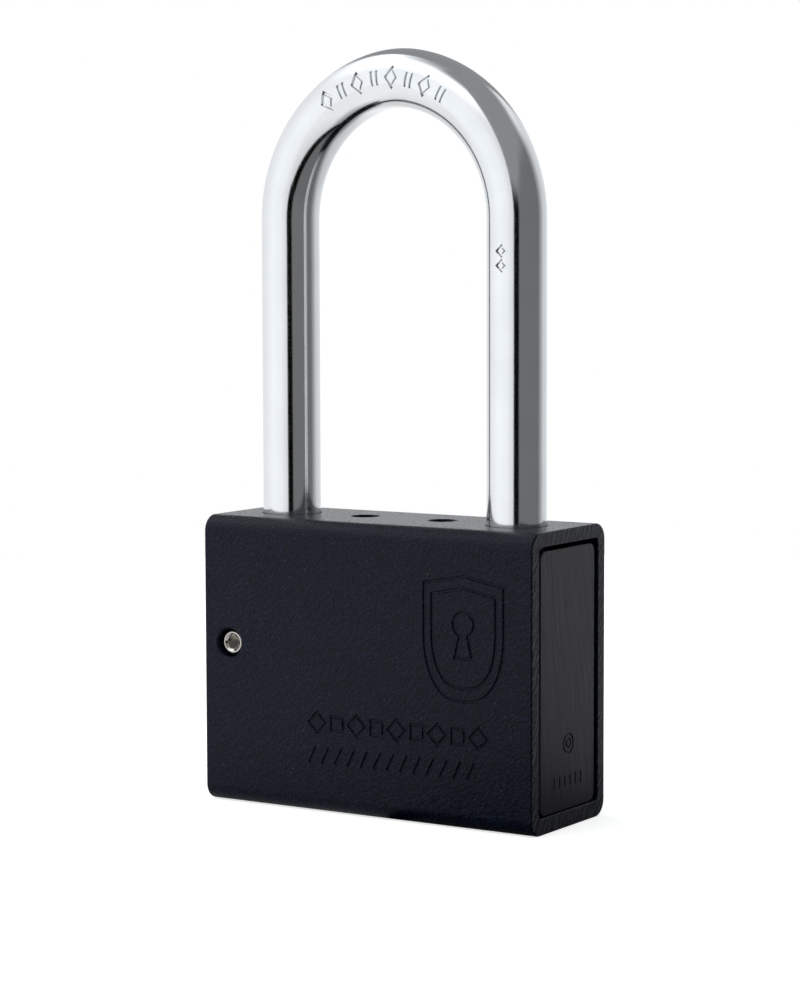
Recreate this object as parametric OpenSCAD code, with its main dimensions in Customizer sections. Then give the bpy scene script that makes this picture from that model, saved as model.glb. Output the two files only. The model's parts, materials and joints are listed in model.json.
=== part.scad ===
// Cased block padlock with a long round shackle.
// A solid lock block slides into an open-ended steel sleeve and one set screw keeps it there.
// A pin-tumbler cylinder in the block turns a two-lobed cam. The cam pushes two steel balls
// outwards through pushers, into a pocket in each leg of the shackle.
// Frame: origin at the middle of the sleeve's underside, X across the width, -Y the front, +Z up.
// Everything is drawn with the shackle home and the plug turned to its release position, so the
// balls are drawn back and the shackle is free to lift out. A quarter turn back locks it.

/* [Sleeve] */
// Width of the sleeve from one open end to the other
body_w = 82; // [80:0.5:88]
// Depth of the sleeve from front to back
body_d = 31; // [30.5:0.5:34]
// Height of the sleeve
body_h = 62.5; // [62.5:0.5:66]
// Radius of the sleeve's four long outer edges
edge_r = 3.5; // [2:0.25:4.5]
// Thickness of the front, back and top walls
wall = 3; // [2.5:0.25:3]
// Thickness of the floor that carries the block
floor_t = 3.6; // [3.4:0.1:3.6]
// Diameter of the two small round holes in the top
top_hole_d = 6; // [4:0.5:7]
// Distance between those two holes
top_hole_pitch = 19.5; // [16:0.5:24]
// Distance of those two holes behind the middle
top_hole_y = 0.75; // [-2:0.25:2]
// Diameter of the key hole in the floor
key_hole_d = 16; // [15:0.5:17]

/* [Lock block] */
// Gap round the block at the front, back and top
block_gap = 0.9; // [0.5:0.1:1.1]
// Depth that the block's ends lie inside the sleeve's ends
block_recess = 0.3; // [0:0.1:1]
// Radius of the block's long edges
block_r = 2.1; // [1:0.1:3]

/* [Shackle] */
// Diameter of the shackle's bar
bar_d = 12.7; // [12:0.1:12.8]
// Distance between the middles of the two legs
leg_pitch = 56.8; // [56.6:0.1:58]
// Height of the straight part of the legs above the sleeve
leg_straight = 63.65; // [20:0.05:90]
// Length of leg inside the body
leg_depth = 28.5; // [26:0.5:28.5]
// Distance that the shoulder arcs' centres lie past the middle
shoulder_over = 1.4; // [0.5:0.1:3]
// Angle of the shoulder arcs, where the tighter crown arc takes over
crown_from = 80; // [70:1:82]

/* [Locking balls and cam] */
// Diameter of the locking balls
ball_d = 10; // [9.8:0.1:10]
// Height of the balls above the underside
ball_z = 50; // [49.5:0.25:50]
// Depth that a ball enters the shackle's leg
lock_depth = 2.5; // [2:0.1:2.6]
// Travel of each ball
ball_throw = 2.8; // [2.6:0.1:2.8]
// Radius of the pusher's round nose
nose_r = 4; // [3.5:0.1:4.2]

/* [Cylinder] */
// Diameter of the plug
plug_d = 13; // [12.5:0.1:13]
// Number of pin stacks
stacks = 5; // [3:1:5]
// Distance from one pin stack to the next
stack_pitch = 4.2; // [3.8:0.1:4.2]
// Diameter of the pins
pin_d = 2.9; // [2.5:0.1:3]
// Width of the keyway
keyway_w = 8.8; // [7:0.2:9]
// Thickness of the keyway
keyway_t = 3; // [2.4:0.1:3]

/* [Hidden] */
$fn = 64;

// Cuts run this far past the face that they open
past = 1;
// Radial clearance of a running fit
run_gap = 0.08;

// Sleeve and block
opening_d = body_d - 2 * wall;
opening_r = 1;
block_w = body_w - 2 * block_recess;
block_d = opening_d - 2 * block_gap;
block_z1 = body_h - wall - block_gap;
top_hole_z0 = block_z1 - 2.2;

// Shackle
bar_r = bar_d / 2;
leg_x = leg_pitch / 2;
leg_hole_r = bar_r + 0.15;
leg_tip_z = body_h - leg_depth;
leg_hole_z0 = leg_tip_z - 1;
tip_chamfer = 1;
bow_z = body_h + leg_straight;
shoulder_r = leg_x + shoulder_over;
crown_r = shoulder_r - shoulder_over / cos(crown_from);
crown_z = bow_z + (shoulder_r - crown_r) * sin(crown_from);
crown_lap = 0.6;

// Locking balls, pushers and cam
ball_r = ball_d / 2;
channel_r = ball_r + run_gap;
ball_lock_x = leg_x - bar_r + lock_depth - ball_r;
ball_x = ball_lock_x - ball_throw;
pocket_r = ball_r + 0.3;
nose_x = 10.5;
cam_gap = 0.1;
cam_h = 10;
cam_z0 = ball_z - cam_h / 2;
cam_z1 = ball_z + cam_h / 2;
washer_t = 0.4;
washer_r = 9;
bush_z1 = cam_z0 - washer_t - 0.1;
channel_plug_l = 4;

// Set screw that ties the block to the sleeve
screw_x = -34.5;
screw_z = 35;
screw_d = 6;
screw_l = 6;
screw_recess = 1.2;
screw_hole_d = 6.3;
hex_across = 3;
hex_depth = 2.6;

// Cylinder
plug_r = plug_d / 2;
plug_bore_r = plug_r + run_gap;
housing_r = 9.5;
stack_bore_r = housing_r + 0.1;
housing_z0 = floor_t;
housing_z1 = 33;
bible_w = 8;
bible_x = 20.7;
bible_z1 = 31;
bible_gap = 0.15;
pin_r = pin_d / 2;
chamber_r = pin_r + 0.05;
first_stack_z = 9.5;
driver_l = 4.5;
cap_l = 1.5;
plug_z0 = floor_t + 0.1;
head_r = plug_r + 0.8;
head_z1 = plug_z0 + 1.5;
keyway_z1 = 29.5;
neck_r = 5.4;
clip_z0 = housing_z1 + 0.15;
clip_t = 0.9;
clip_r = 7.4;
collar_z0 = clip_z0 + clip_t + 0.05;
collar_z1 = collar_z0 + 1.2;
tail_w = 7;
tail_t = 2.4;
tail_gap = 0.05;
tail_z0 = 31.8;
tail_z1 = cam_z1 - 3;
bush_hole_r = 4.2;
bush_skirt_r = 7.9;
bush_skirt_z = collar_z1 + 0.6;
cross_pin_d = 3;
cross_pin_x = -9;
cross_pin_z = 18;
cross_pin_l = 20;
drill_pin_d = 1.6;
drill_pin_l = 10;
drill_pin_at = (head_r + run_gap + housing_r) / 2;
guard_pin_d = 1.5;
guard_pin_l = 6;
guard_pin_x = 3.2;
guard_pin_y = -3.6;
// How far below the key's face each key pin's tip lies
cuts = [0.4, 0.8, 0.2, 0.6, 0.3];

steel_black = "#262a32";
steel_dark = "#3a3b3f";
chrome = "#c3c6cb";
steel = "#9a9da2";
brass = "#c4a052";

// ---- Shared shapes ----

// Cylinders between two places on an axis
module rod_x(x0, x1, r) {
    translate([x0, 0, 0])
        rotate([0, 90, 0])
            cylinder(r = r, h = x1 - x0);
}

module rod_y(y0, y1, r) {
    translate([0, y0, 0])
        rotate([-90, 0, 0])
            cylinder(r = r, h = y1 - y0);
}

module rod_z(z0, z1, r) {
    translate([0, 0, z0])
        cylinder(r = r, h = z1 - z0);
}

// A cylinder with a 45 degree chamfer at its lower end
module tipped_rod_z(z0, z1, r, chamfer) {
    rod_z(z0 + chamfer, z1, r);
    translate([0, 0, z0])
        cylinder(r1 = r - chamfer, r2 = r, h = chamfer);
}

// A rectangle with round corners, standing on its own X axis
module round_rect(w, h, r) {
    translate([-w / 2 + r, 0])
        square([w - 2 * r, h]);
    translate([-w / 2, r])
        square([w, h - 2 * r]);
    for (x = [-w / 2 + r, w / 2 - r], y = [r, h - r])
        translate([x, y])
            circle(r);
}

// A bar of that section lying along X
module long_bar(length, depth, z0, z1, r) {
    translate([-length / 2, 0, z0])
        rotate([90, 0, 90])
            linear_extrude(length)
                round_rect(depth, z1 - z0, r);
}

module at_legs() {
    for (side = [-1, 1])
        translate([side * leg_x, 0, 0])
            children();
}

module at_top_holes() {
    for (side = [-1, 1])
        translate([side * top_hole_pitch / 2, top_hole_y, 0])
            children();
}

module at_stacks() {
    for (i = [0 : stacks - 1])
        translate([0, 0, first_stack_z + i * stack_pitch])
            children();
}

module at_drill_pins() {
    for (a = [90, 180, 270])
        rotate([0, 0, a])
            translate([drill_pin_at, 0, 0])
                children();
}

module at_guard_pins() {
    for (side = [-1, 1])
        translate([side * guard_pin_x, side * guard_pin_y, 0])
            children();
}

// ---- Casing ----

module sleeve() {
    color(steel_black)
        difference() {
            long_bar(body_w, body_d, 0, body_h, edge_r);
            long_bar(body_w + 2 * past, opening_d, floor_t, body_h - wall, opening_r);
            at_legs()
                rod_z(body_h - wall - past, body_h + past, leg_hole_r);
            at_top_holes()
                rod_z(body_h - wall - past, body_h + past, top_hole_d / 2);
            rod_z(-past, floor_t + past, key_hole_d / 2);
            translate([screw_x, 0, screw_z])
                rod_y(-body_d / 2 - past, -opening_d / 2 + past, screw_hole_d / 2);
        }
}

module lock_block() {
    color(steel_dark)
        difference() {
            long_bar(block_w, block_d, floor_t, block_z1, block_r);
            at_legs()
                rod_z(leg_hole_z0, block_z1 + past, leg_hole_r);
            at_top_holes()
                rod_z(top_hole_z0, block_z1 + past, top_hole_d / 2);
            rod_z(floor_t - past, cam_z1 + 0.3, stack_bore_r);
            translate([0, -bible_w / 2 - bible_gap, floor_t - past])
                cube([bible_x + bible_gap, bible_w + 2 * bible_gap, bible_z1 + bible_gap - floor_t + past]);
            translate([0, 0, ball_z])
                rod_x(-block_w / 2 - past, leg_x, channel_r);
            translate([screw_x, 0, screw_z])
                rod_y(-block_d / 2 - past, -body_d / 2 + screw_recess + screw_l + 0.5, screw_d / 2);
            translate([cross_pin_x, 0, cross_pin_z])
                rod_y(-block_d / 2 - past, block_d / 2 + past, cross_pin_d / 2);
        }
}

module body_screw() {
    y0 = -body_d / 2 + screw_recess;
    color(chrome)
        translate([screw_x, 0, screw_z])
            difference() {
                rod_y(y0, y0 + screw_l, screw_d / 2 - 0.02);
                translate([0, y0 - past, 0])
                    rotate([-90, 0, 0])
                        cylinder(d = hex_across / cos(30), h = hex_depth + past, $fn = 6);
            }
}

// Closes the outer end of the drilling that the balls run in
module channel_plug() {
    color(steel)
        translate([0, 0, ball_z])
            rod_x(-block_w / 2, -block_w / 2 + channel_plug_l, channel_r);
}

// ---- Shackle ----

// An arc of the bar in the XZ plane, from one angle to another above the X axis
module bar_arc(r, from, to, thick_r) {
    rotate([90, 0, 0])
        rotate([0, 0, from])
            rotate_extrude(angle = to - from)
                translate([r, 0])
                    circle(thick_r);
}

// A shoulder arc rises from each leg. The crown arc laps over both shoulders' ends and is a
// hair thicker than they are, so the three arcs join in one solid.
module bow() {
    for (side = [0, 1])
        mirror([side, 0, 0])
            translate([-shoulder_over, 0, bow_z])
                bar_arc(shoulder_r, 0, crown_from, bar_r);
    translate([0, 0, crown_z])
        bar_arc(crown_r, crown_from - crown_lap, 180 - crown_from + crown_lap, bar_r + 0.01);
}

module shackle() {
    color(chrome)
        difference() {
            union() {
                at_legs()
                    tipped_rod_z(leg_tip_z, bow_z, bar_r, tip_chamfer);
                bow();
            }
            for (side = [-1, 1])
                translate([side * ball_lock_x, 0, ball_z])
                    sphere(pocket_r);
        }
}

// ---- Locking balls, pushers and cam ----

module locking_ball() {
    color(chrome)
        translate([ball_x, 0, ball_z])
            sphere(ball_r);
}

module toe_ball() {
    locking_ball();
}

module heel_ball() {
    mirror([1, 0, 0])
        locking_ball();
}

// A flanged slug: the round nose rides on the cam and the flat face bears on the ball
module pusher() {
    face_x = ball_x - ball_r;
    color(steel)
        translate([0, 0, ball_z]) {
            intersection() {
                translate([nose_x, 0, 0])
                    sphere(nose_r);
                rod_x(0, face_x, ball_r);
            }
            rod_x(nose_x, face_x, ball_r);
        }
}

module toe_pusher() {
    pusher();
}

module heel_pusher() {
    mirror([1, 0, 0])
        pusher();
}

// Distance from the cam's axis to a pusher nose's middle, with the nose at angle a round the cam
function nose_path(a) = nose_x + ball_throw * (1 - abs(abs(a) % 180 - 90) / 90);

// How far the cam may reach at angle a before it meets a nose at angle b
function cam_reach(a, b) =
    let (d = a - b, r = nose_path(b), s = r * sin(d))
    abs(s) < nose_r ? r * cos(d) - sqrt(nose_r * nose_r - s * s) : r;

function cam_radius(a) = min([for (b = [a - 30 : 1 : a + 30]) cam_reach(a, b)]) - cam_gap;

module cam() {
    color(steel)
        difference() {
            translate([0, 0, cam_z0])
                linear_extrude(cam_h)
                    polygon([for (a = [0 : 3 : 357]) cam_radius(a) * [cos(a), sin(a)]]);
            tail_bar(cam_z0 - past, tail_z1 + 0.5, tail_gap);
        }
}

module cam_washer() {
    color(brass)
        difference() {
            rod_z(bush_z1, bush_z1 + washer_t, washer_r);
            rod_z(bush_z1 - past, bush_z1 + washer_t + past, bush_hole_r);
        }
}

// Fills the bore between the cylinder and the cam, and clears the clip on the plug's tail
module cam_bush() {
    color(steel)
        difference() {
            rod_z(housing_z1, bush_z1, housing_r);
            rod_z(housing_z1 - past, bush_z1 + past, bush_hole_r);
            rod_z(housing_z1 - past, bush_skirt_z, bush_skirt_r);
        }
}

// The flat bar from the plug's tail to the cam, or with a gap the slot that it fits
module tail_bar(z0, z1, gap) {
    translate([-tail_w / 2 - gap, -tail_t / 2 - gap, z0])
        cube([tail_w + 2 * gap, tail_t + 2 * gap, z1 - z0]);
}

module tailpiece() {
    color(steel)
        tail_bar(tail_z0, tail_z1, 0);
}

// ---- Cylinder ----

module cylinder_housing() {
    color(brass)
        difference() {
            union() {
                rod_z(housing_z0, housing_z1, housing_r);
                translate([0, -bible_w / 2, housing_z0])
                    cube([bible_x, bible_w, bible_z1 - housing_z0]);
            }
            rod_z(housing_z0 - past, housing_z1 + past, plug_bore_r);
            rod_z(housing_z0 - past, head_z1 + 0.1, head_r + run_gap);
            at_stacks()
                rod_x(0, bible_x + past, chamber_r);
            at_drill_pins()
                rod_z(housing_z0 - past, housing_z0 + drill_pin_l, drill_pin_d / 2);
            translate([cross_pin_x, 0, cross_pin_z])
                rod_y(-housing_r, housing_r, cross_pin_d / 2);
        }
}

// Cross pin that holds the cylinder in the block
module cylinder_pin() {
    color(steel)
        translate([cross_pin_x, 0, cross_pin_z])
            rod_y(-cross_pin_l / 2, cross_pin_l / 2, cross_pin_d / 2 - 0.02);
}

// Hard pins in the cylinder's face that stop a drill
module anti_drill_pins() {
    color(steel)
        at_drill_pins()
            rod_z(housing_z0, housing_z0 + drill_pin_l, drill_pin_d / 2 - 0.02);
}

module plug() {
    color(brass)
        difference() {
            union() {
                rod_z(plug_z0, head_z1, head_r);
                rod_z(head_z1, clip_z0 - 0.05, plug_r);
                rod_z(clip_z0 - 0.05, collar_z0, neck_r);
                rod_z(collar_z0, collar_z1, plug_r - 0.1);
            }
            translate([-keyway_w / 2, -keyway_t / 2, plug_z0 - past])
                cube([keyway_w, keyway_t, keyway_z1 - plug_z0 + past]);
            at_stacks()
                rod_y(0, plug_r + past, chamber_r);
            tail_bar(tail_z0 - tail_gap, collar_z1 + past, tail_gap);
            at_guard_pins()
                rod_z(plug_z0 - past, plug_z0 + guard_pin_l, guard_pin_d / 2);
        }
}

// Open ring in the groove behind the housing, which keeps the plug in
module plug_clip() {
    color(steel)
        difference() {
            rod_z(clip_z0, clip_z0 + clip_t, clip_r);
            rod_z(clip_z0 - past, clip_z0 + clip_t + past, neck_r + 0.05);
            translate([-neck_r / 2, 0, clip_z0 - past])
                cube([neck_r, clip_r + past, clip_t + 2 * past]);
        }
}

// Hard pins in the plug's face, beside the keyway
module plug_guard_pins() {
    color(steel)
        at_guard_pins()
            rod_z(plug_z0, plug_z0 + guard_pin_l, guard_pin_d / 2 - 0.02);
}

// The pins are drawn where the key holds them, parted at the plug's surface
module key_pins() {
    color(brass)
        for (i = [0 : stacks - 1])
            translate([0, 0, first_stack_z + i * stack_pitch])
                rod_y(keyway_t / 2 - cuts[i], plug_r - 0.15, pin_r);
}

module driver_pins() {
    color(steel)
        at_stacks()
            rod_x(plug_bore_r + 0.05, plug_bore_r + driver_l, pin_r);
}

// A coil spring along X: a ring of points carried along a helix
module coil_spring(x0, x1, coil_r, wire_r, turns) {
    sides = 5;
    rings = turns * 8;
    points = [
        for (i = [0 : rings], k = [0 : sides - 1])
            let (
                a = 360 * turns * i / rings,
                b = 360 * k / sides,
                r = coil_r + wire_r * cos(b)
            )
            [
                x0 + wire_r + (x1 - x0 - 2 * wire_r) * i / rings + wire_r * sin(b),
                r * cos(a),
                r * sin(a)
            ]
    ];
    start_cap = [for (k = [sides - 1 : -1 : 0]) k];
    end_cap = [for (k = [0 : sides - 1]) rings * sides + k];
    skin = [
        for (i = [0 : rings - 1], k = [0 : sides - 1])
            let (a = i * sides + k, b = i * sides + (k + 1) % sides)
            each [[a, b, b + sides], [a, b + sides, a + sides]]
    ];
    polyhedron(points, concat([start_cap], skin, [end_cap]));
}

module pin_springs() {
    wire_r = 0.2;
    color(steel)
        at_stacks()
            coil_spring(plug_bore_r + driver_l, bible_x - cap_l, chamber_r - 2 * wire_r, wire_r, 5);
}

module chamber_caps() {
    color(brass)
        at_stacks()
            rod_x(bible_x - cap_l, bible_x, chamber_r);
}

sleeve();
lock_block();
shackle();
body_screw();
channel_plug();
toe_ball();
heel_ball();
toe_pusher();
heel_pusher();
cam();
cam_washer();
cam_bush();
tailpiece();
cylinder_housing();
cylinder_pin();
anti_drill_pins();
plug();
plug_clip();
plug_guard_pins();
key_pins();
driver_pins();
pin_springs();
chamber_caps();
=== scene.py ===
"""The looks of a cased padlock with a long shackle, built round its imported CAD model.

Lengths in this file are millimetres unless a name says otherwise. Places and sizes come from the
boxes of the CAD nodes, and the few values that a box can't tell repeat those of the CAD source.
"""

import json
import math

import bmesh
import bpy
from mathutils import Matrix, Vector


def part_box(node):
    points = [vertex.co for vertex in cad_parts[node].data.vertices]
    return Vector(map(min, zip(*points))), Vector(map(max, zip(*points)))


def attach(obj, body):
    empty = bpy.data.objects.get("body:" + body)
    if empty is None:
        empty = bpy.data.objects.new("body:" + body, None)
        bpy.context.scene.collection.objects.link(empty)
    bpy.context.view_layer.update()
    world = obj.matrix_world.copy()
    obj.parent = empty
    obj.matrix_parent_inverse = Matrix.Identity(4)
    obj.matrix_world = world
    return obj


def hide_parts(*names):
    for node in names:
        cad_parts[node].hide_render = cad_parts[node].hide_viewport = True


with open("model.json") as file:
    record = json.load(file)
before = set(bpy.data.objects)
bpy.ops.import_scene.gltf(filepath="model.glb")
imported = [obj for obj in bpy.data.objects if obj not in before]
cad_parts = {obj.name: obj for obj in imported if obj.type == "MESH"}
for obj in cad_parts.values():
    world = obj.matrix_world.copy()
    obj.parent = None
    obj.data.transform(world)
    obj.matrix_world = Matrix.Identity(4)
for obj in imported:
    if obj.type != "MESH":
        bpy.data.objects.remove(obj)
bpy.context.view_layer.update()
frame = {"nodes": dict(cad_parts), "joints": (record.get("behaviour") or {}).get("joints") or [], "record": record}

METRES = 0.001
CAMERA_AZIMUTH = 32.452

UP = Vector((0, 0, 1))
DOWN = Vector((0, 0, -1))
RIGHT = Vector((1, 0, 0))
BACK = Vector((0, 1, 0))

# ---- Sizes ----


def box_mm(node):
    """The lowest and highest corner of a CAD node, in millimetres."""
    low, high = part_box(node)
    return low / METRES, high / METRES


def centre_mm(node):
    low, high = box_mm(node)
    return (low + high) / 2


SLEEVE_LOW, SLEEVE_HIGH = box_mm("sleeve")
BODY_W = SLEEVE_HIGH.x - SLEEVE_LOW.x
BODY_D = SLEEVE_HIGH.y - SLEEVE_LOW.y
BODY_H = SLEEVE_HIGH.z
EDGE_R = 3.5
WALL = 3.0
OPENING_D = BODY_D - 2 * WALL
OPENING_R = 1.0

BLOCK_LOW, BLOCK_HIGH = box_mm("lock_block")
BLOCK_R = 2.1
FLOOR_T = BLOCK_LOW.z

SHACKLE_LOW, SHACKLE_HIGH = box_mm("shackle")
BAR_R = (SHACKLE_HIGH.y - SHACKLE_LOW.y) / 2 - 0.01
LEG_X = SHACKLE_HIGH.x - BAR_R
LEG_HOLE_R = BAR_R + 0.15
LEG_HOLE_Z0 = SHACKLE_LOW.z - 1
SHOULDER_OVER = 1.4
CROWN_FROM = math.radians(80)
SHOULDER_R = LEG_X + SHOULDER_OVER
CROWN_R = SHOULDER_R - SHOULDER_OVER / math.cos(CROWN_FROM)
CROWN_Z = SHACKLE_HIGH.z - BAR_R - CROWN_R
BOW_Z = CROWN_Z - (SHOULDER_R - CROWN_R) * math.sin(CROWN_FROM)
CROWN_HALF = CROWN_R * (math.pi / 2 - CROWN_FROM)
BOW_HALF = CROWN_HALF + SHOULDER_R * CROWN_FROM
PATH_HALF = BOW_HALF + BOW_Z - SHACKLE_LOW.z

BALL = centre_mm("toe_ball")
BALL_THROW = max(
    joint["range_m"][1] for joint in frame["joints"] if joint["name"] == "toe_bolt_slide"
) / METRES
POCKET_R = 5.3
POCKET_STEPS = 24

TOP_HOLE_R = 3.0
TOP_HOLE_X = 9.75
TOP_HOLE_Y = 0.75
TOP_HOLE_Z0 = BLOCK_HIGH.z - 2.2

KEY_HOLE_R = 8.0
STACK_BORE_R = 9.6
STACK_BORE_Z1 = 55.3
# The bible is the side of the housing that holds the pins, and it ends 2 mm under the housing's top
BIBLE_GAP = 0.15
BIBLE_SLOT_HIGH = box_mm("cylinder_housing")[1] + Vector((BIBLE_GAP, 0, BIBLE_GAP - 2))
BIBLE_SLOT_HALF_W = 4 + BIBLE_GAP
CHANNEL_R = (box_mm("channel_plug")[1].y - box_mm("channel_plug")[0].y) / 2
CROSS_PIN = centre_mm("cylinder_pin")
CROSS_PIN_R = 1.5

SCREW_LOW, SCREW_HIGH = box_mm("body_screw")
SCREW = centre_mm("body_screw")
SCREW_R = (SCREW_HIGH.x - SCREW_LOW.x) / 2
SCREW_HOLE_R = 3.15
HEX_ACROSS = 3.0
HEX_DEPTH = 2.6

PLUG_LOW, PLUG_HIGH = box_mm("plug")
CLIP_LOW, CLIP_HIGH = box_mm("plug_clip")
HEAD_R = PLUG_HIGH.x
HEAD_L = 1.5
PLUG_R = HEAD_R - 0.8
NECK_R = 5.4
KEYWAY_HALF_W = 4.4
KEYWAY_HALF_T = 1.5
KEYWAY_Z1 = 29.5
STACK_ZS = [9.5 + 4.2 * i for i in range(5)]
CHAMBER_R = 1.5
TAIL_SLOT_HALF_W = 3.55
TAIL_SLOT_HALF_T = 1.25
TAIL_SLOT_Z0 = 31.75
GUARD_PIN = (3.2, -3.6)
GUARD_PIN_R = 0.75
GUARD_PIN_L = 6

# How far the edges of open ends and the rims of holes are broken
END_EDGE = 0.4
OPENING_EDGE = 0.2
WIDE_RIM = 0.3
RIM = 0.25
NARROW_RIM = 0.2
CHANNEL_RIM = 0.15

# ---- Mesh building ----


def skin(rings, loop=False):
    """A closed solid through rings of points, all of one length. A loop joins its last ring to
    its first, and otherwise both ends are capped."""
    solid = bmesh.new()
    verts = [[solid.verts.new(point) for point in ring] for ring in rings]
    count = len(rings[0])
    pairs = list(zip(verts, verts[1:]))
    if loop:
        pairs.append((verts[-1], verts[0]))
    for lower, upper in pairs:
        for i in range(count):
            j = (i + 1) % count
            solid.faces.new((lower[i], lower[j], upper[j], upper[i]))
    if not loop:
        solid.faces.new(verts[0][::-1])
        solid.faces.new(verts[-1])
    bmesh.ops.recalc_face_normals(solid, faces=solid.faces)
    return solid


def join(solids):
    """One bmesh that holds several, each of which is freed."""
    whole = bmesh.new()
    for solid in solids:
        part = bpy.data.meshes.new("part")
        solid.to_mesh(part)
        solid.free()
        whole.from_mesh(part)
        bpy.data.meshes.remove(part)
    return whole


def make_object(name, solid):
    """An object in metres from a bmesh in millimetres."""
    bmesh.ops.scale(solid, vec=(METRES,) * 3, verts=solid.verts)
    mesh = bpy.data.meshes.new(name)
    solid.to_mesh(mesh)
    solid.free()
    made = bpy.data.objects.new(name, mesh)
    bpy.context.scene.collection.objects.link(made)
    return made


def apply_modifiers(piece):
    """Puts the result of a piece's modifiers in its mesh."""
    graph = bpy.context.evaluated_depsgraph_get()
    result = bpy.data.meshes.new_from_object(piece.evaluated_get(graph))
    piece.modifiers.clear()
    piece.data = result


def cut(piece, solids):
    """Takes the solids, which don't touch each other, away from a piece."""
    cutter = make_object("cutter", join(solids))
    boolean = piece.modifiers.new("cut", "BOOLEAN")
    boolean.operation = "DIFFERENCE"
    boolean.solver = "EXACT"
    boolean.object = cutter
    apply_modifiers(piece)
    bpy.data.objects.remove(cutter)


def finish_shading(piece, sharp_above=32):
    """Smooth faces that break at sharp edges, with flat faces kept flat."""
    piece.data.shade_smooth()
    piece.data.set_sharp_from_angle(angle=math.radians(sharp_above))
    weighted = piece.modifiers.new("weighted", "WEIGHTED_NORMAL")
    weighted.keep_sharp = True
    apply_modifiers(piece)


def turned(profile, base, along, sides=64, across=None):
    """A solid of revolution, whose first corner is on the across side when that is given. The
    profile is (radius, distance along the axis) from end to end."""
    across = across or along.orthogonal().normalized()
    other = along.cross(across)
    rings = []
    for radius, distance in profile:
        middle = base + along * distance
        rings.append([
            middle + radius * (math.cos(turn) * across + math.sin(turn) * other)
            for turn in (2 * math.pi * i / sides for i in range(sides))
        ])
    return skin(rings)


def bore(mouth, inwards, radius, depth, flare=0.0, sides=64, past=1.0):
    """The cutter for a round hole whose rim is broken by a small flare."""
    profile = [(radius + flare, -past), (radius + flare, 0), (radius, flare), (radius, depth)]
    if not flare:
        profile = [(radius, -past), (radius, depth)]
    return turned(profile, mouth, inwards, sides)


def rounded_section(x, half_d, z0, z1, radius, steps=10):
    """The points of a rectangle with round corners, in the plane across X."""
    points = []
    corners = [(half_d, z1, 0), (-half_d, z1, 1), (-half_d, z0, 2), (half_d, z0, 3)]
    for y, z, quarter in corners:
        y_mid = y - math.copysign(radius, y)
        z_mid = z1 - radius if z == z1 else z0 + radius
        for i in range(steps + 1):
            turn = math.radians(90) * (quarter + i / steps)
            points.append(Vector((x, y_mid + radius * math.cos(turn), z_mid + radius * math.sin(turn))))
    return points


def broken_ends(half_w, edge, steps=3):
    """(x, inset) from end to end of a bar whose end edges are rounded by that much."""
    right = []
    for i in range(steps + 1):
        turn = math.radians(90) * i / steps
        right.append((half_w - edge + edge * math.sin(turn), edge - edge * math.cos(turn)))
    return [(-x, inset) for x, inset in reversed(right)] + right


def bar_along_x(half_w, half_d, z0, z1, radius, edge, grow=1):
    """The sections of a bar with round long edges. Grow is -1 for an opening, whose ends widen."""
    rings = []
    for x, inset in broken_ends(half_w, edge):
        inset *= grow
        rings.append(rounded_section(x, half_d - inset, z0 + inset, z1 - inset, radius - inset))
    return rings


def stroke(path, place, section, closed=True):
    """The cutter for one engraved line. The path is (u, v) points on a surface, place(u, v, h)
    gives the point h above it, and section is the line's (height, half width) from top to bottom."""
    count = len(path)
    rings = []
    for i, (u, v) in enumerate(path):
        before = path[i - 1] if closed or i > 0 else None
        after = path[(i + 1) % count] if closed or i < count - 1 else None
        steps = []
        if before:
            steps.append(Vector((u - before[0], v - before[1])).normalized())
        if after:
            steps.append(Vector((after[0] - u, after[1] - v)).normalized())
        along = sum(steps, Vector((0, 0))).normalized()
        side = Vector((-along.y, along.x)) / max(0.4, along.dot(steps[0]))
        left = [place(u + side.x * half, v + side.y * half, h) for h, half in section]
        right = [place(u - side.x * half, v - side.y * half, h) for h, half in reversed(section)]
        rings.append(left + right)
    return skin(rings, loop=closed)


def circle_path(u, v, radius, sides=28):
    return [
        (u + radius * math.cos(turn), v + radius * math.sin(turn))
        for turn in (2 * math.pi * i / sides for i in range(sides))
    ]


# ---- Sleeve ----


def on_front(u, v, h):
    return Vector((u, SLEEVE_LOW.y - h, v))


# The section of an engraved line: (height, half width) from above the surface to its bottom
ENGRAVED = [(0.3, 0.5), (0.02, 0.4), (-0.1, 0.27), (-0.3, 0.2)]

SHIELD_MID = (24.8, 40.5)
SHIELD_HALF_W = 9.6
SHIELD_TOP = 12.5
SHIELD_SHOULDER = 10.7
SHIELD_FOOT = 13.5
INNER_SHIELD = 0.8
KEYHOLE_MID = (SHIELD_MID[0], SHIELD_MID[1] + 2.5)


def shield_path(scale=1.0, steps=9):
    """The outline of a plain shield: a shallow point in its top edge, straight sides, and two
    arcs that meet at its foot."""
    half = []
    for i in range(steps + 1):
        turn = math.radians(90) * i / steps
        half.append((SHIELD_HALF_W * math.cos(turn) ** 0.75, -SHIELD_FOOT * math.sin(turn)))
    right = [(SHIELD_HALF_W, SHIELD_SHOULDER), (SHIELD_HALF_W, SHIELD_TOP / 2)] + half
    left = [(-u, v) for u, v in reversed(right[:-1])]
    outline = [(0, SHIELD_TOP)] + right + left
    return [(SHIELD_MID[0] + scale * u, SHIELD_MID[1] + scale * v) for u, v in outline]


def keyhole_path(radius=2.5, waist=0.95, foot=2.1, drop=7.1, sides=20):
    """A keyhole: a round top over a slot that widens down to a foot that far below its middle."""
    u, v = KEYHOLE_MID
    start = math.asin(waist / radius)
    turns = [start + (2 * math.pi - 2 * start) * i / sides for i in range(sides + 1)]
    arc = [(u + radius * math.sin(turn), v - radius * math.cos(turn)) for turn in turns]
    return arc + [(u - foot, v - drop), (u + foot, v - drop)]


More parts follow.
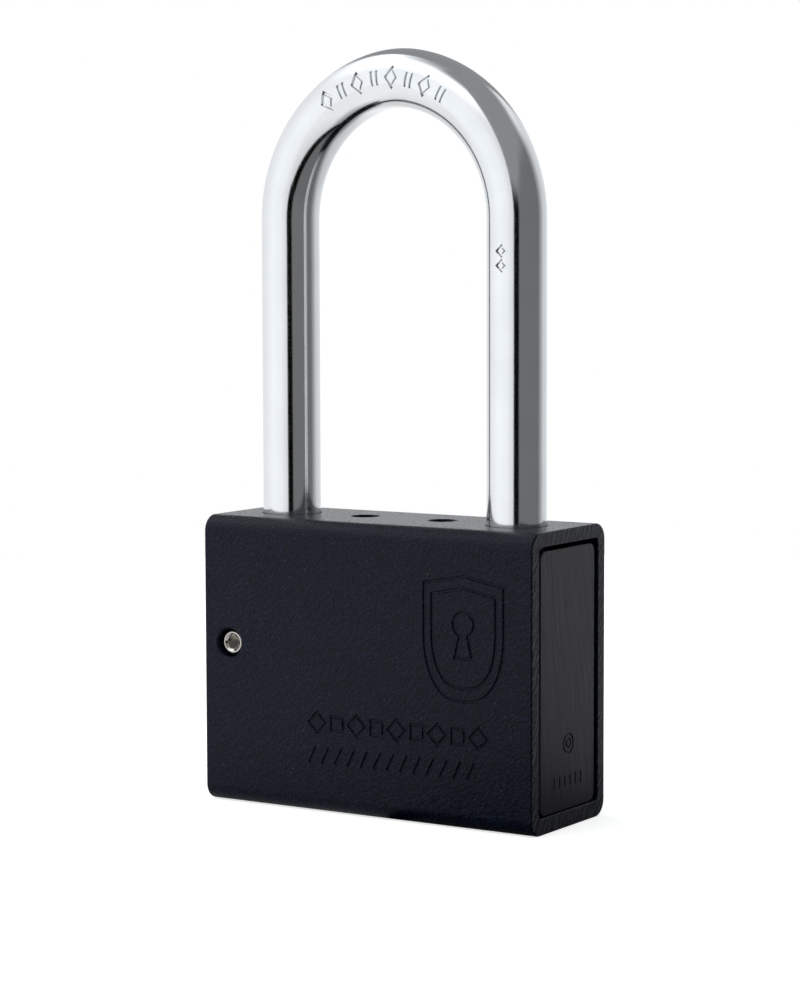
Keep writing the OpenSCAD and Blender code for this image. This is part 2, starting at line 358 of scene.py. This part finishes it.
def lozenge_path(u, v, half_w, half_h):
    return [(u - half_w, v), (u, v - half_h), (u + half_w, v), (u, v + half_h)]


def box_path(u, v, half_w, half_h):
    return [
        (u - half_w, v - half_h),
        (u + half_w, v - half_h),
        (u + half_w, v + half_h),
        (u - half_w, v + half_h),
    ]


# Rows of marks: (first u, last u, v, count)
UPPER_ROW = (-11.5, 28.5, 19.6, 9)
LOWER_ROW = (-12.8, 26.6, 12.6, 13)
LOZENGE_HALF = 2.2
BOX_HALF = 1.5
SLANT_HALF_W = 0.9
SLANT_HALF_H = 1.8


def along_row(row):
    """The (u, v) middles of a row's marks."""
    first, last, v, count = row
    return [(first + (last - first) * i / (count - 1), v) for i in range(count)]


def front_marks():
    """A shield with a keyhole, a row of lozenges and boxes, and a row of slanted bars."""
    marks = [
        stroke(shield_path(), on_front, ENGRAVED),
        stroke(shield_path(INNER_SHIELD), on_front, ENGRAVED),
        stroke(keyhole_path(), on_front, ENGRAVED),
    ]
    for i, (u, v) in enumerate(along_row(UPPER_ROW)):
        outline, half = (box_path, BOX_HALF) if i % 2 else (lozenge_path, LOZENGE_HALF)
        marks.append(stroke(outline(u, v, half, half), on_front, ENGRAVED))
    for u, v in along_row(LOWER_ROW):
        slant = [(u - SLANT_HALF_W, v - SLANT_HALF_H), (u + SLANT_HALF_W, v + SLANT_HALF_H)]
        marks.append(stroke(slant, on_front, ENGRAVED, closed=False))
    return marks


def build_sleeve():
    """The sleeve with its ends broken, its holes and its marks."""
    half_w, half_d = BODY_W / 2, BODY_D / 2
    outer = bar_along_x(half_w, half_d, 0, BODY_H, EDGE_R, END_EDGE)
    inner = bar_along_x(
        half_w, OPENING_D / 2, FLOOR_T, BODY_H - WALL, OPENING_R, OPENING_EDGE, grow=-1
    )
    sleeve = make_object("sleeve_case", skin(outer + inner[::-1], loop=True))
    depth = WALL + 1
    top_holes = [(LEG_X, 0, LEG_HOLE_R), (TOP_HOLE_X, TOP_HOLE_Y, TOP_HOLE_R)]
    cutters = [
        bore(Vector((side * x, y, BODY_H)), DOWN, radius, depth, RIM)
        for x, y, radius in top_holes
        for side in (-1, 1)
    ]
    screw_mouth = Vector((SCREW.x, SLEEVE_LOW.y, SCREW.z))
    cutters.append(bore(Vector((0, 0, 0)), UP, KEY_HOLE_R, FLOOR_T + 1, WIDE_RIM))
    cutters.append(bore(screw_mouth, BACK, SCREW_HOLE_R, depth, WIDE_RIM))
    cut(sleeve, cutters + front_marks())
    return sleeve


# ---- Lock block ----


def on_block_end(u, v, h):
    return Vector((BLOCK_HIGH.x + h, u, v))


STAMPED = [(0.2, 0.36), (0.0, 0.26), (-0.07, 0.18), (-0.2, 0.12)]
END_RINGS_MID = (0.35, 17.5)
OUTER_RING_R = 2.0
INNER_RING_R = 0.9
END_ROW = (-5.6, 5.6, 9.8, 6)
END_BAR_HALF_H = 1.2


def block_marks():
    """A double ring, and a row of short bars under it."""
    marks = [
        stroke(circle_path(*END_RINGS_MID, OUTER_RING_R), on_block_end, STAMPED),
        stroke(circle_path(*END_RINGS_MID, INNER_RING_R, 18), on_block_end, STAMPED),
    ]
    for u, v in along_row(END_ROW):
        path = [(u, v - END_BAR_HALF_H), (u, v + END_BAR_HALF_H)]
        marks.append(stroke(path, on_block_end, STAMPED, closed=False))
    return marks


def build_lock_block():
    """The block with every bore that the CAD block has, and its marks."""
    half_w, half_d = BLOCK_HIGH.x, BLOCK_HIGH.y
    block = make_object(
        "lock_block_body",
        skin(bar_along_x(half_w, half_d, BLOCK_LOW.z, BLOCK_HIGH.z, BLOCK_R, END_EDGE)),
    )
    top = BLOCK_HIGH.z
    for side in (-1, 1):
        cut(block, [
            bore(Vector((side * LEG_X, 0, top)), DOWN, LEG_HOLE_R, top - LEG_HOLE_Z0, WIDE_RIM),
            bore(Vector((side * TOP_HOLE_X, TOP_HOLE_Y, top)), DOWN, TOP_HOLE_R, top - TOP_HOLE_Z0),
        ])
    stack_mouth = Vector((0, 0, FLOOR_T))
    cut(block, [bore(stack_mouth, UP, STACK_BORE_R, STACK_BORE_Z1 - FLOOR_T, NARROW_RIM)])
    bible_slot = [
        [Vector((x, y, z)) for x, y in (
            (0, -BIBLE_SLOT_HALF_W),
            (BIBLE_SLOT_HIGH.x, -BIBLE_SLOT_HALF_W),
            (BIBLE_SLOT_HIGH.x, BIBLE_SLOT_HALF_W),
            (0, BIBLE_SLOT_HALF_W),
        )]
        for z in (FLOOR_T - 1, BIBLE_SLOT_HIGH.z)
    ]
    cut(block, [skin(bible_slot)])
    channel_mouth = Vector((BLOCK_LOW.x, 0, BALL.z))
    cut(block, [bore(channel_mouth, RIGHT, CHANNEL_R, LEG_X - BLOCK_LOW.x, CHANNEL_RIM)])
    screw_mouth = Vector((SCREW.x, BLOCK_LOW.y, SCREW.z))
    screw_depth = SCREW_HIGH.y + 0.5 - BLOCK_LOW.y
    cut(block, [bore(screw_mouth, BACK, SCREW_R + 0.02, screw_depth, NARROW_RIM)])
    pin_mouth = Vector((CROSS_PIN.x, BLOCK_LOW.y, CROSS_PIN.z))
    cut(block, [bore(pin_mouth, BACK, CROSS_PIN_R, 2 * half_d + 1)])
    cut(block, block_marks())
    return block


# ---- Shackle ----


def bar_frame(u):
    """The middle of the shackle's bar, and the direction away from the bow's inside, at a
    distance u along the bar from its crest."""
    side = math.copysign(1, u)
    reach = abs(u)
    if reach <= CROWN_HALF:
        turn = math.pi / 2 - reach / CROWN_R
        centre, radius = Vector((0, 0, CROWN_Z)), CROWN_R
    elif reach <= BOW_HALF:
        turn = CROWN_FROM - (reach - CROWN_HALF) / SHOULDER_R
        centre, radius = Vector((-side * SHOULDER_OVER, 0, BOW_Z)), SHOULDER_R
    else:
        centre, radius = Vector((side * LEG_X, 0, BOW_Z - (reach - BOW_HALF))), 0
        turn = 0
    outwards = Vector((side * math.cos(turn), 0, math.sin(turn)))
    return centre + radius * outwards, outwards


def on_bar(u, v, h):
    """The point h above the bar's surface, at v round it from its front line."""
    middle, outwards = bar_frame(u)
    turn = v / BAR_R
    return middle + (BAR_R + h) * (math.sin(turn) * outwards - math.cos(turn) * Vector((0, 1, 0)))


# The chamfer at a tip: (distance from the tip, height over the bar's surface)
TIP = [(0, -1.15), (0.1, -0.95), (0.95, -0.1), (1.15, 0)]
BOW_STEPS = 110
BAR_SIDES = 96
# How far from its tip and from the bow's end each leg has a ring between them
RING_FROM_TIP = 14
RING_FROM_BOW = 40


def bar_rings():
    """The rings of the bar from tip to tip, with a chamfered end at each."""
    stations = [(-PATH_HALF + along, drop) for along, drop in TIP]
    stations += [(u, 0) for u in (-PATH_HALF + RING_FROM_TIP, -BOW_HALF - RING_FROM_BOW)]
    stations += [(-BOW_HALF + 2 * BOW_HALF * i / BOW_STEPS, 0) for i in range(BOW_STEPS + 1)]
    stations += [(u, 0) for u in (BOW_HALF + RING_FROM_BOW, PATH_HALF - RING_FROM_TIP)]
    stations += [(PATH_HALF - along, drop) for along, drop in reversed(TIP)]
    around = [2 * math.pi * BAR_R * i / BAR_SIDES for i in range(BAR_SIDES)]
    return [[on_bar(u, v, drop) for v in around] for u, drop in stations]


PUNCHED = [(0.3, 0.44), (0.03, 0.37), (-0.16, 0.27), (-0.48, 0.17)]
BOW_ROW = (-15.4, 14.4, 0, 8)
PAIR_HALF_GAP = 0.65
PAIR_BAR_STEPS = (-1.6, -0.8, 0, 0.8, 1.6)
# Half the width and half the height of a lozenge
BOW_LOZENGE = (1.35, 2.0)
LEG_LOZENGE = (0.95, 1.05)
LEG_LOZENGE_ZS = (119.6, 116.6)


def lozenge_on_bar(u, half_w, half_h, steps=3):
    """A lozenge whose sides have enough points to follow the bar's curve."""
    corners = lozenge_path(u, 0, half_w, half_h)
    path = []
    for start, end in zip(corners, corners[1:] + corners[:1]):
        for i in range(steps):
            share = i / steps
            path.append((
                start[0] + (end[0] - start[0]) * share,
                start[1] + (end[1] - start[1]) * share,
            ))
    return path


def bar_marks():
    """A row of lozenges and pairs of bars over the crest, and two lozenges on the right leg."""
    marks = []
    for i, (u, v) in enumerate(along_row(BOW_ROW)):
        if i % 2:
            for shift in (-PAIR_HALF_GAP, PAIR_HALF_GAP):
                path = [(u + shift, v + step) for step in PAIR_BAR_STEPS]
                marks.append(stroke(path, on_bar, PUNCHED, closed=False))
        else:
            marks.append(stroke(lozenge_on_bar(u, *BOW_LOZENGE), on_bar, PUNCHED))
    for z in LEG_LOZENGE_ZS:
        path = lozenge_on_bar(BOW_HALF + BOW_Z - z, *LEG_LOZENGE)
        marks.append(stroke(path, on_bar, PUNCHED))
    return marks


def build_shackle():
    """The shackle with a ball's pocket in each leg, and its marks."""
    shackle = make_object("shackle_bar", skin(bar_rings()))
    reach = BALL.x + BALL_THROW
    turns = [math.pi * (i + 0.5) / POCKET_STEPS for i in range(POCKET_STEPS)]
    ball = [(POCKET_R * math.sin(turn), -POCKET_R * math.cos(turn)) for turn in turns]
    cut(shackle, [turned(ball, Vector((side * reach, 0, BALL.z)), RIGHT, 48) for side in (-1, 1)])
    cut(shackle, bar_marks())
    return shackle


# ---- Set screw ----

# How far the countersink reaches past the hexagon's corners at the face, and inside them at its foot
COUNTERSINK_PAST = 0.26
COUNTERSINK_INSIDE = 0.14
COUNTERSINK_DEPTH = 0.3


def build_screw():
    """The set screw with a chamfered end round a countersunk hexagon."""
    mouth = Vector((SCREW.x, SCREW_LOW.y, SCREW.z))
    length = SCREW_HIGH.y - SCREW_LOW.y
    shape = [
        (SCREW_R - 0.75, 0),
        (SCREW_R - 0.68, 0.04),
        (SCREW_R, 0.7),
        (SCREW_R, length - 0.8),
        (SCREW_R - 0.8, length),
    ]
    screw = make_object("set_screw", turned(shape, mouth, BACK, 48))
    corner = HEX_ACROSS / 2 / math.cos(math.radians(30))
    cut(screw, [turned([(corner, -1), (corner, HEX_DEPTH)], mouth, BACK, 6, RIGHT)])
    countersink = [
        (corner + 2.3, -1),
        (corner + COUNTERSINK_PAST, 0),
        (corner - COUNTERSINK_INSIDE, COUNTERSINK_DEPTH),
    ]
    cut(screw, [turned(countersink, mouth, BACK, 48)])
    return screw


# ---- Plug ----

FACE_RING_IN = 5.85
FACE_RING_OUT = 6.45
FACE_RING_DEPTH = 0.12
CLIP_PLAY = 0.05


def flat_slot(half_w, half_t, z0, z1, flare=0.0):
    """The cutter for a flat slot up from z0, whose edges there are broken by a small flare."""
    levels = [(z0, 0), (z1, 0)]
    if flare:
        levels = [(z0 - 1, flare), (z0, flare), (z0 + flare, 0), (z1, 0)]
    return skin([
        [Vector((x, y, z)) for x, y in (
            (-half_w - more, -half_t - more),
            (half_w + more, -half_t - more),
            (half_w + more, half_t + more),
            (-half_w - more, half_t + more),
        )]
        for z, more in levels
    ])


def build_plug():
    """The plug, with a ring turned in its face and its keyway's mouth broken for the key."""
    base = Vector((0, 0, PLUG_LOW.z))
    clip_z0 = CLIP_LOW.z - CLIP_PLAY - base.z
    clip_z1 = CLIP_HIGH.z + CLIP_PLAY - base.z
    shape = [
        (FACE_RING_IN, 0),
        (FACE_RING_IN + 0.1, FACE_RING_DEPTH),
        (FACE_RING_OUT - 0.1, FACE_RING_DEPTH),
        (FACE_RING_OUT, 0),
        (HEAD_R - 0.2, 0),
        (HEAD_R, 0.2),
        (HEAD_R, HEAD_L),
        (PLUG_R, HEAD_L),
        (PLUG_R, clip_z0),
        (NECK_R, clip_z0),
        (NECK_R, clip_z1),
        (PLUG_R - 0.1, clip_z1),
        (PLUG_R - 0.1, PLUG_HIGH.z - base.z),
    ]
    plug = make_object("plug_turned", turned(shape, base, UP))
    guards = [Vector((side * GUARD_PIN[0], side * GUARD_PIN[1], base.z)) for side in (-1, 1)]
    cut(plug, [bore(guard, UP, GUARD_PIN_R, GUARD_PIN_L, sides=32) for guard in guards])
    cut(plug, [flat_slot(KEYWAY_HALF_W, KEYWAY_HALF_T, base.z, KEYWAY_Z1, RIM)])
    cut(plug, [flat_slot(TAIL_SLOT_HALF_W, TAIL_SLOT_HALF_T, TAIL_SLOT_Z0, PLUG_HIGH.z + 1)])
    chamber = [(CHAMBER_R, 0), (CHAMBER_R, PLUG_R + 1)]
    cut(plug, [turned(chamber, Vector((0, 0, z)), BACK, 32) for z in STACK_ZS])
    return plug


# ---- Materials ----


class Graph:
    """Adds nodes to a node tree, with inputs set from numbers or linked from other outputs."""

    def __init__(self, tree):
        self.tree = tree

    def node(self, kind, inputs=None, **settings):
        made = self.tree.nodes.new(kind)
        for setting, value in settings.items():
            setattr(made, setting, value)
        for socket, value in (inputs or {}).items():
            self.feed(made.inputs[socket], value)
        return made

    def feed(self, socket, value):
        if isinstance(value, bpy.types.NodeSocket):
            self.tree.links.new(value, socket)
        elif isinstance(value, tuple) and socket.type == "RGBA":
            socket.default_value = (*value, 1)
        else:
            socket.default_value = value

    def math(self, operation, a, b=0.0, c=0.0):
        return self.node("ShaderNodeMath", {0: a, 1: b, 2: c}, operation=operation).outputs[0]

    def spread(self, value, low, high, from_low=0.3, from_high=0.7, smooth=False):
        """Carries a range, which is a noise's usual one unless it is given, over to another."""
        inputs = {
            "Value": value,
            "From Min": from_low,
            "From Max": from_high,
            "To Min": low,
            "To Max": high,
        }
        kind = "SMOOTHSTEP" if smooth else "LINEAR"
        return self.node("ShaderNodeMapRange", inputs, interpolation_type=kind).outputs[0]

    def blend(self, share, a, b):
        """Between two colours."""
        return self.node("ShaderNodeMix", {0: share, 6: a, 7: b}, data_type="RGBA").outputs[2]

    def bearing(self, vector):
        """How far round from the camera a direction or place lies: 0.5 there, 0 or 1 behind."""
        inputs = {"Vector": vector, "Angle": -math.radians(CAMERA_AZIMUTH)}
        turned_back = self.node("ShaderNodeVectorRotate", inputs, rotation_type="Z_AXIS")
        split = self.node("ShaderNodeSeparateXYZ", {0: turned_back.outputs[0]})
        ahead = self.math("MULTIPLY", split.outputs["Y"], -1)
        angle = self.math("ARCTAN2", split.outputs["X"], ahead)
        return self.math("MULTIPLY_ADD", angle, 1 / (2 * math.pi), 0.5)

    def round_the_studio(self, bearing, stops):
        """A value that changes with the bearing. The stops are (degrees to the right of the
        camera, value from 0 to 1)."""
        ramp = self.node("ShaderNodeValToRGB", {0: bearing})
        elements = ramp.color_ramp.elements
        while len(elements) < len(stops):
            elements.new(0.5)
        for element, (degrees, value) in zip(elements, stops):
            element.position = degrees / 360 + 0.5
            element.color = (value, value, value, 1)
        return ramp.outputs[0]


class Surface(Graph):
    """A material and the nodes behind it. Its coordinates are millimetres in the row frame."""

    def __init__(self, name):
        self.material = bpy.data.materials.new(name)
        self.material.use_nodes = True
        super().__init__(self.material.node_tree)
        self.shader = self.tree.nodes["Principled BSDF"]
        place = self.node("ShaderNodeTexCoord").outputs["Object"]
        scale = {0: place, "Scale": 1 / METRES}
        self.place = self.node("ShaderNodeVectorMath", scale, operation="SCALE").outputs[0]

    def stretched(self, lengths, turn=(0, 0, 0), place=None):
        """Coordinates in which a pattern is that many times as long along each turned axis."""
        inputs = {
            "Vector": place or self.place,
            "Scale": lengths,
            "Rotation": [math.radians(angle) for angle in turn],
        }
        return self.node("ShaderNodeMapping", inputs, vector_type="TEXTURE").outputs[0]

    def noise(self, per_mm, detail=2.0, rough=0.5, place=None, distortion=0.0):
        inputs = {
            "Vector": place or self.place,
            "Scale": per_mm,
            "Detail": detail,
            "Roughness": rough,
            "Distortion": distortion,
        }
        return self.node("ShaderNodeTexNoise", inputs).outputs[0]

    def painted_relief(self, shift, per_mm, rough, lengths, turn):
        """A stretched grain less the same grain a shift away: above 0 where it faces that way, the mask from which
        light and shade are painted into a colour.
        """
        moved = self.node("ShaderNodeVectorMath", {0: self.place, 1: shift}, operation="ADD").outputs[0]
        here = self.noise(per_mm, 2, rough, self.stretched(lengths, turn))
        there = self.noise(per_mm, 2, rough, self.stretched(lengths, turn, moved))
        return self.math("SUBTRACT", here, there)

    def bump(self, height, depth):
        """Bumps as deep as that many millimetres."""
        return self.node("ShaderNodeBump", {"Height": height, "Distance": depth * METRES}).outputs[0]

    def set(self, **inputs):
        """Sets the shader's inputs, named with underscores for their spaces."""
        for name, value in inputs.items():
            self.feed(self.shader.inputs[name.replace("_", " ")], value)


def sleeve_coat():
    """Black powder coat with a blue cast, a leathery grain whose light from the upper left and shade are painted
    into its colour, and pale specks painted in as glints.
    """
    coat = Surface("sleeve_coat")
    # Painted light and shade: the grain's slope towards the upper left, which lightens the colour on one side of
    # each grain and darkens it on the other
    painted_grain_light = coat.painted_relief((-0.17, 0.1, 0.2), 2.1, 0.6, (1, 1, 1.8), (0, 52, 0))
    fine = coat.noise(5.0, 2)
    patches = coat.spread(coat.noise(0.09, 3), 0, 1)
    # Painted glints: pale specks in a share of random cells
    cells = coat.node("ShaderNodeTexVoronoi", {"Vector": coat.place, "Scale": 0.8})
    dot = coat.spread(cells.outputs["Distance"], 1, 0, 0.06, 0.2)
    pick = coat.math("FRACT", coat.math("MULTIPLY", cells.outputs["Color"], 7))
    painted_glint = coat.math("MULTIPLY", dot, coat.math("GREATER_THAN", pick, 0.6))
    facing_light = coat.blend(patches, (0.0040, 0.0080, 0.0225), (0.0058, 0.0104, 0.0262))
    # Painted shade: near black where the grain turns away from the light, the coat's own tone where it faces it
    base = coat.blend(coat.spread(painted_grain_light, 0, 1, -0.1, 0.2), (0.0004, 0.0010, 0.0040), facing_light)
    coat.set(
        Base_Color=coat.blend(coat.math("MULTIPLY", painted_glint, 0.3), base, (0.07, 0.078, 0.095)),
        Roughness=coat.spread(fine, 0.2, 0.32),
        Specular_IOR_Level=0.106,
        Normal=coat.bump(coat.noise(2.3, 2, 0.6), 0.18),
    )
    return coat.material


def sleeve_end():
    """The sawn ends of the sleeve under the same coat: granular, with slanting saw marks, whose light and shade
    are painted into the colour.
    """
    coat = Surface("sleeve_end")
    # Painted light and shade: how far the saw marks and the grain face the front and up, which also gives their
    # bumps
    marks = coat.painted_relief((0, -0.25, 0.15), 1.2, 0.6, (1, 1, 4.5), (-33, 0, 0))
    grain = coat.painted_relief((0, -0.12, 0.12), 3.2, 0.6, (1, 1, 1), (0, 0, 0))
    facing_light = coat.math("MULTIPLY_ADD", marks, 1.2, grain)
    coat.set(
        # Painted shade where the marks and grain turn away from the light, painted light where they face it
        Base_Color=coat.blend(
            coat.spread(facing_light, 0, 1, 0.0, 0.22), (0.0002, 0.0003, 0.0012), (0.088, 0.096, 0.135)
        ),
        Roughness=coat.spread(grain, 0.3, 0.5, -0.2, 0.2),
        Specular_IOR_Level=0.11,
        Normal=coat.bump(facing_light, 0.12),
    )
    return coat.material


def block_steel():
    """Dark phosphated steel, brushed up and down in slightly bowed lines."""
    steel = Surface("block_steel")
    sway = steel.math("MULTIPLY", steel.noise(0.05, 1, place=steel.stretched((9, 9, 1))), 2)
    swayed = steel.node("ShaderNodeVectorMath", {0: steel.place, 1: sway}, operation="ADD").outputs[0]
    grain = steel.noise(4.5, 3, 0.6, steel.stretched((1, 1, 30), (8, 0, 0), swayed))
    streaks = steel.noise(1.2, 2, 0.5, steel.stretched((1, 1, 24), (8, 0, 0), swayed))
    tone = steel.math("MULTIPLY_ADD", streaks, 0.5, steel.math("MULTIPLY", grain, 0.5))
    steel.set(
        Base_Color=steel.blend(
            steel.spread(tone, 0, 1, 0.36, 0.64), (0.0100, 0.0100, 0.0135), (0.0330, 0.0330, 0.0390)
        ),
        Metallic=0.9,
        Roughness=steel.spread(grain, 0.32, 0.48),
        Specular_IOR_Level=0.3,
        Normal=steel.bump(grain, 0.02),
    )
    return steel.material


def plated(name, tone, roughness, stretch=(1, 1, 1), depth=0.0015, per_mm=1.6):
    """A plated or polished metal, a little uneven in tone and gloss."""
    metal = Surface(name)
    drawn = metal.noise(per_mm, 3, 0.55, metal.stretched(stretch))
    cloudy = metal.noise(0.12, 2)
    metal.set(
        Base_Color=metal.blend(metal.spread(cloudy, 0, 1), tuple(0.95 * c for c in tone), tone),
        Metallic=1.0,
        Roughness=metal.spread(drawn, roughness * 0.8, roughness * 1.2),
        Normal=metal.bump(drawn, depth),
    )
    return metal.material


def machined(name, tone, roughness, per_mm=6.0, depth=0.006):
    """A turned or milled metal, with the fine lines that a tool leaves and duller patches."""
    metal = Surface(name)
    lines = metal.noise(per_mm, 2, 0.6, metal.stretched((3, 3, 1)))
    stain = metal.noise(0.35, 4, 0.6)
    metal.set(
        Base_Color=metal.blend(metal.spread(stain, 0, 1), tuple(0.72 * c for c in tone), tone),
        Metallic=1.0,
        Roughness=metal.spread(stain, roughness * 1.25, roughness * 0.85),
        Normal=metal.bump(lines, depth),
    )
    return metal.material


MATERIALS = {
    "sleeve_coat": sleeve_coat(),
    "block_steel": block_steel(),
    "shackle_chrome": plated("shackle_chrome", (0.63, 0.638, 0.65), 0.11, stretch=(1, 1, 12)),
    "screw_nickel": plated("screw_nickel", (0.4, 0.385, 0.36), 0.1, depth=0.003, per_mm=4),
    "ball_steel": plated("ball_steel", (0.58, 0.58, 0.6), 0.1),
    "inner_steel": machined("inner_steel", (0.4, 0.4, 0.41), 0.32),
    "spring_steel": plated("spring_steel", (0.42, 0.42, 0.43), 0.25, per_mm=9),
    "brass": machined("brass", (0.62, 0.44, 0.17), 0.3),
    "plug_nickel": machined("plug_nickel", (0.58, 0.54, 0.45), 0.26),
}

# ---- Pieces ----


def finish_piece(piece, node, body, slot):
    """Shades a piece, gives it its slot's material and lets it stand for a CAD node."""
    finish_shading(piece)
    piece.data.materials.clear()
    piece.data.materials.append(MATERIALS[slot])
    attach(piece, body)
    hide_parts(node)


sleeve = build_sleeve()
finish_piece(sleeve, "sleeve", "case", "sleeve_coat")
sleeve.data.materials.append(sleeve_end())
for face in sleeve.data.polygons:
    if abs(face.normal.x) > 0.95 and abs(face.center.x) > (BODY_W / 2 - 0.05) * METRES:
        face.material_index = 1

finish_piece(build_lock_block(), "lock_block", "case", "block_steel")
finish_piece(build_shackle(), "shackle", "shackle", "shackle_chrome")
finish_piece(build_screw(), "body_screw", "case", "screw_nickel")
finish_piece(build_plug(), "plug", "plug", "plug_nickel")

for part in frame["record"]["subparts"]:
    shown = frame["nodes"].get(part["node"])
    if shown and not shown.hide_render:
        shown.data.materials.clear()
        shown.data.materials.append(MATERIALS[part["material_slot"]])

# ---- Floor, light and camera ----

FLOOR_R = 0.5
CAMERA_PITCH = 5.194
CAMERA_ROLL = -0.157
CAMERA_LENS = 104.73
CAMERA_PLACE = Vector((0.33225, -0.52318, 0.12281))

BRIGHTEST = 1.5
# How bright the studio's walls are: (degrees to the right of the camera, share of the brightest)
WALLS = [
    (-180, 1.0),
    (-158, 0.72),
    (-110, 0.88),
    (-75, 1.0),
    (-40, 0.94),
    (-15, 0.74),
    (-12.5, 0.0),
    (4, 0.0),
    (8, 0.16),
    (86, 0.155),
    (100, 0.36),
    (116, 0.63),
    (158, 0.72),
    (180, 1.0),
]
# The sine of the height at which each wall gives way to the ceiling
WALL_TOPS = [
    (-180, 0.2),
    (-170, 0.22),
    (-138, 0.9),
    (-60, 0.9),
    (-18, 0.82),
    (-12, 0.16),
    (4, 0.16),
    (40, 0.5),
    (96, 0.7),
    (140, 0.7),
    (158, 0.2),
]
# How many times as bright a wall gets, and the sines of the heights that it gets so between
WALL_TOP_GAIN = 2.0
GAIN_BETWEEN = (0.45, 0.95)
CEILING = 0.26
# Slightly blue, as the photograph's light is
DAYLIGHT = (0.955, 0.98, 1.0)
# How strongly the reflected floor glows, from near to far, and the distances that it grows between: the dim glow
# near the object is a painted shadow
FLOOR_GLOW_WITH_PAINTED_SHADOW = (0.22, 0.92)
PAINTED_SHADOW_BETWEEN = (35, 90)


def disc(name, radius, z):
    solid = bmesh.new()
    bmesh.ops.create_circle(solid, cap_ends=True, segments=96, radius=radius / METRES)
    bmesh.ops.translate(solid, vec=(0, 0, z), verts=solid.verts)
    made = make_object(name, solid)
    return made


def make_floor():
    """A pale floor for the camera, and just under it the one that the object's metal reflects,
    which is as bright as the wall behind it, with a painted shadow that dims its glow close to the object."""
    seen = disc("floor", FLOOR_R, 0)
    seen.visible_glossy = False
    seen.visible_diffuse = False
    seen.visible_shadow = False
    pale = Surface("floor")
    pale.set(
        Base_Color=(0.8, 0.8, 0.8),
        Roughness=0.9,
        Specular_IOR_Level=0.0,
        Emission_Color=(1.0, 1.0, 1.0),
        Emission_Strength=0.66,
    )
    seen.data.materials.append(pale.material)

    reflected = disc("floor_reflected", FLOOR_R, -0.1)
    reflected.visible_camera = False
    lit = Surface("floor_reflected")
    level = lit.round_the_studio(lit.bearing(lit.place), WALLS)
    away = lit.node("ShaderNodeVectorMath", {0: lit.place}, operation="LENGTH").outputs["Value"]
    # Painted shadow: the glow is dimmer close to the object, where its shadow falls
    glow_with_painted_shadow = lit.spread(away, *FLOOR_GLOW_WITH_PAINTED_SHADOW, *PAINTED_SHADOW_BETWEEN, smooth=True)
    lit.set(
        Base_Color=lit.blend(0.5, level, (0.0, 0.0, 0.0)),
        Roughness=0.9,
        Specular_IOR_Level=0.0,
        Emission_Color=level,
        Emission_Strength=glow_with_painted_shadow,
    )
    reflected.data.materials.append(lit.material)


def make_studio():
    """A studio as a world: walls whose brightness changes round the horizon and grows towards
    their tops, a dimmer ceiling above them, and plain white behind the object."""
    world = bpy.data.worlds.new("studio")
    bpy.context.scene.world = world
    world.use_nodes = True
    world.node_tree.nodes.clear()
    studio = Graph(world.node_tree)
    towards = studio.node("ShaderNodeTexCoord").outputs["Generated"]
    bearing = studio.bearing(towards)
    rise = studio.node("ShaderNodeSeparateXYZ", {0: towards}).outputs["Z"]
    gain = studio.spread(rise, 1, WALL_TOP_GAIN, *GAIN_BETWEEN, smooth=True)
    walls = studio.math("MULTIPLY", studio.round_the_studio(bearing, WALLS), gain)
    tops = studio.round_the_studio(bearing, WALL_TOPS)
    above = studio.spread(studio.math("SUBTRACT", rise, tops), 0, 1, -0.08, 0.12, smooth=True)
    level = studio.blend(above, walls, (CEILING, CEILING, CEILING))
    tinted = studio.node("ShaderNodeVectorMath", {0: level, 1: DAYLIGHT}, operation="MULTIPLY")
    light = studio.node("ShaderNodeBackground", {"Color": tinted.outputs[0], "Strength": BRIGHTEST})
    white = studio.node("ShaderNodeBackground", {"Color": (1.0, 1.0, 1.0)})
    seen = studio.node("ShaderNodeLightPath").outputs["Is Camera Ray"]
    both = studio.node("ShaderNodeMixShader", {0: seen, 1: light.outputs[0], 2: white.outputs[0]})
    studio.node("ShaderNodeOutputWorld", {0: both.outputs[0]})


def make_camera():
    data = bpy.data.cameras.new("camera")
    data.lens = CAMERA_LENS
    camera = bpy.data.objects.new("camera", data)
    bpy.context.scene.collection.objects.link(camera)
    pose = Matrix.Translation(CAMERA_PLACE)
    for degrees, axis in [(CAMERA_AZIMUTH, "Z"), (90 - CAMERA_PITCH, "X"), (CAMERA_ROLL, "Z")]:
        pose = pose @ Matrix.Rotation(math.radians(degrees), 4, axis)
    camera.matrix_world = pose
    bpy.context.scene.camera = camera


make_floor()
make_studio()
make_camera()
bpy.context.scene.view_settings.view_transform = "Standard"
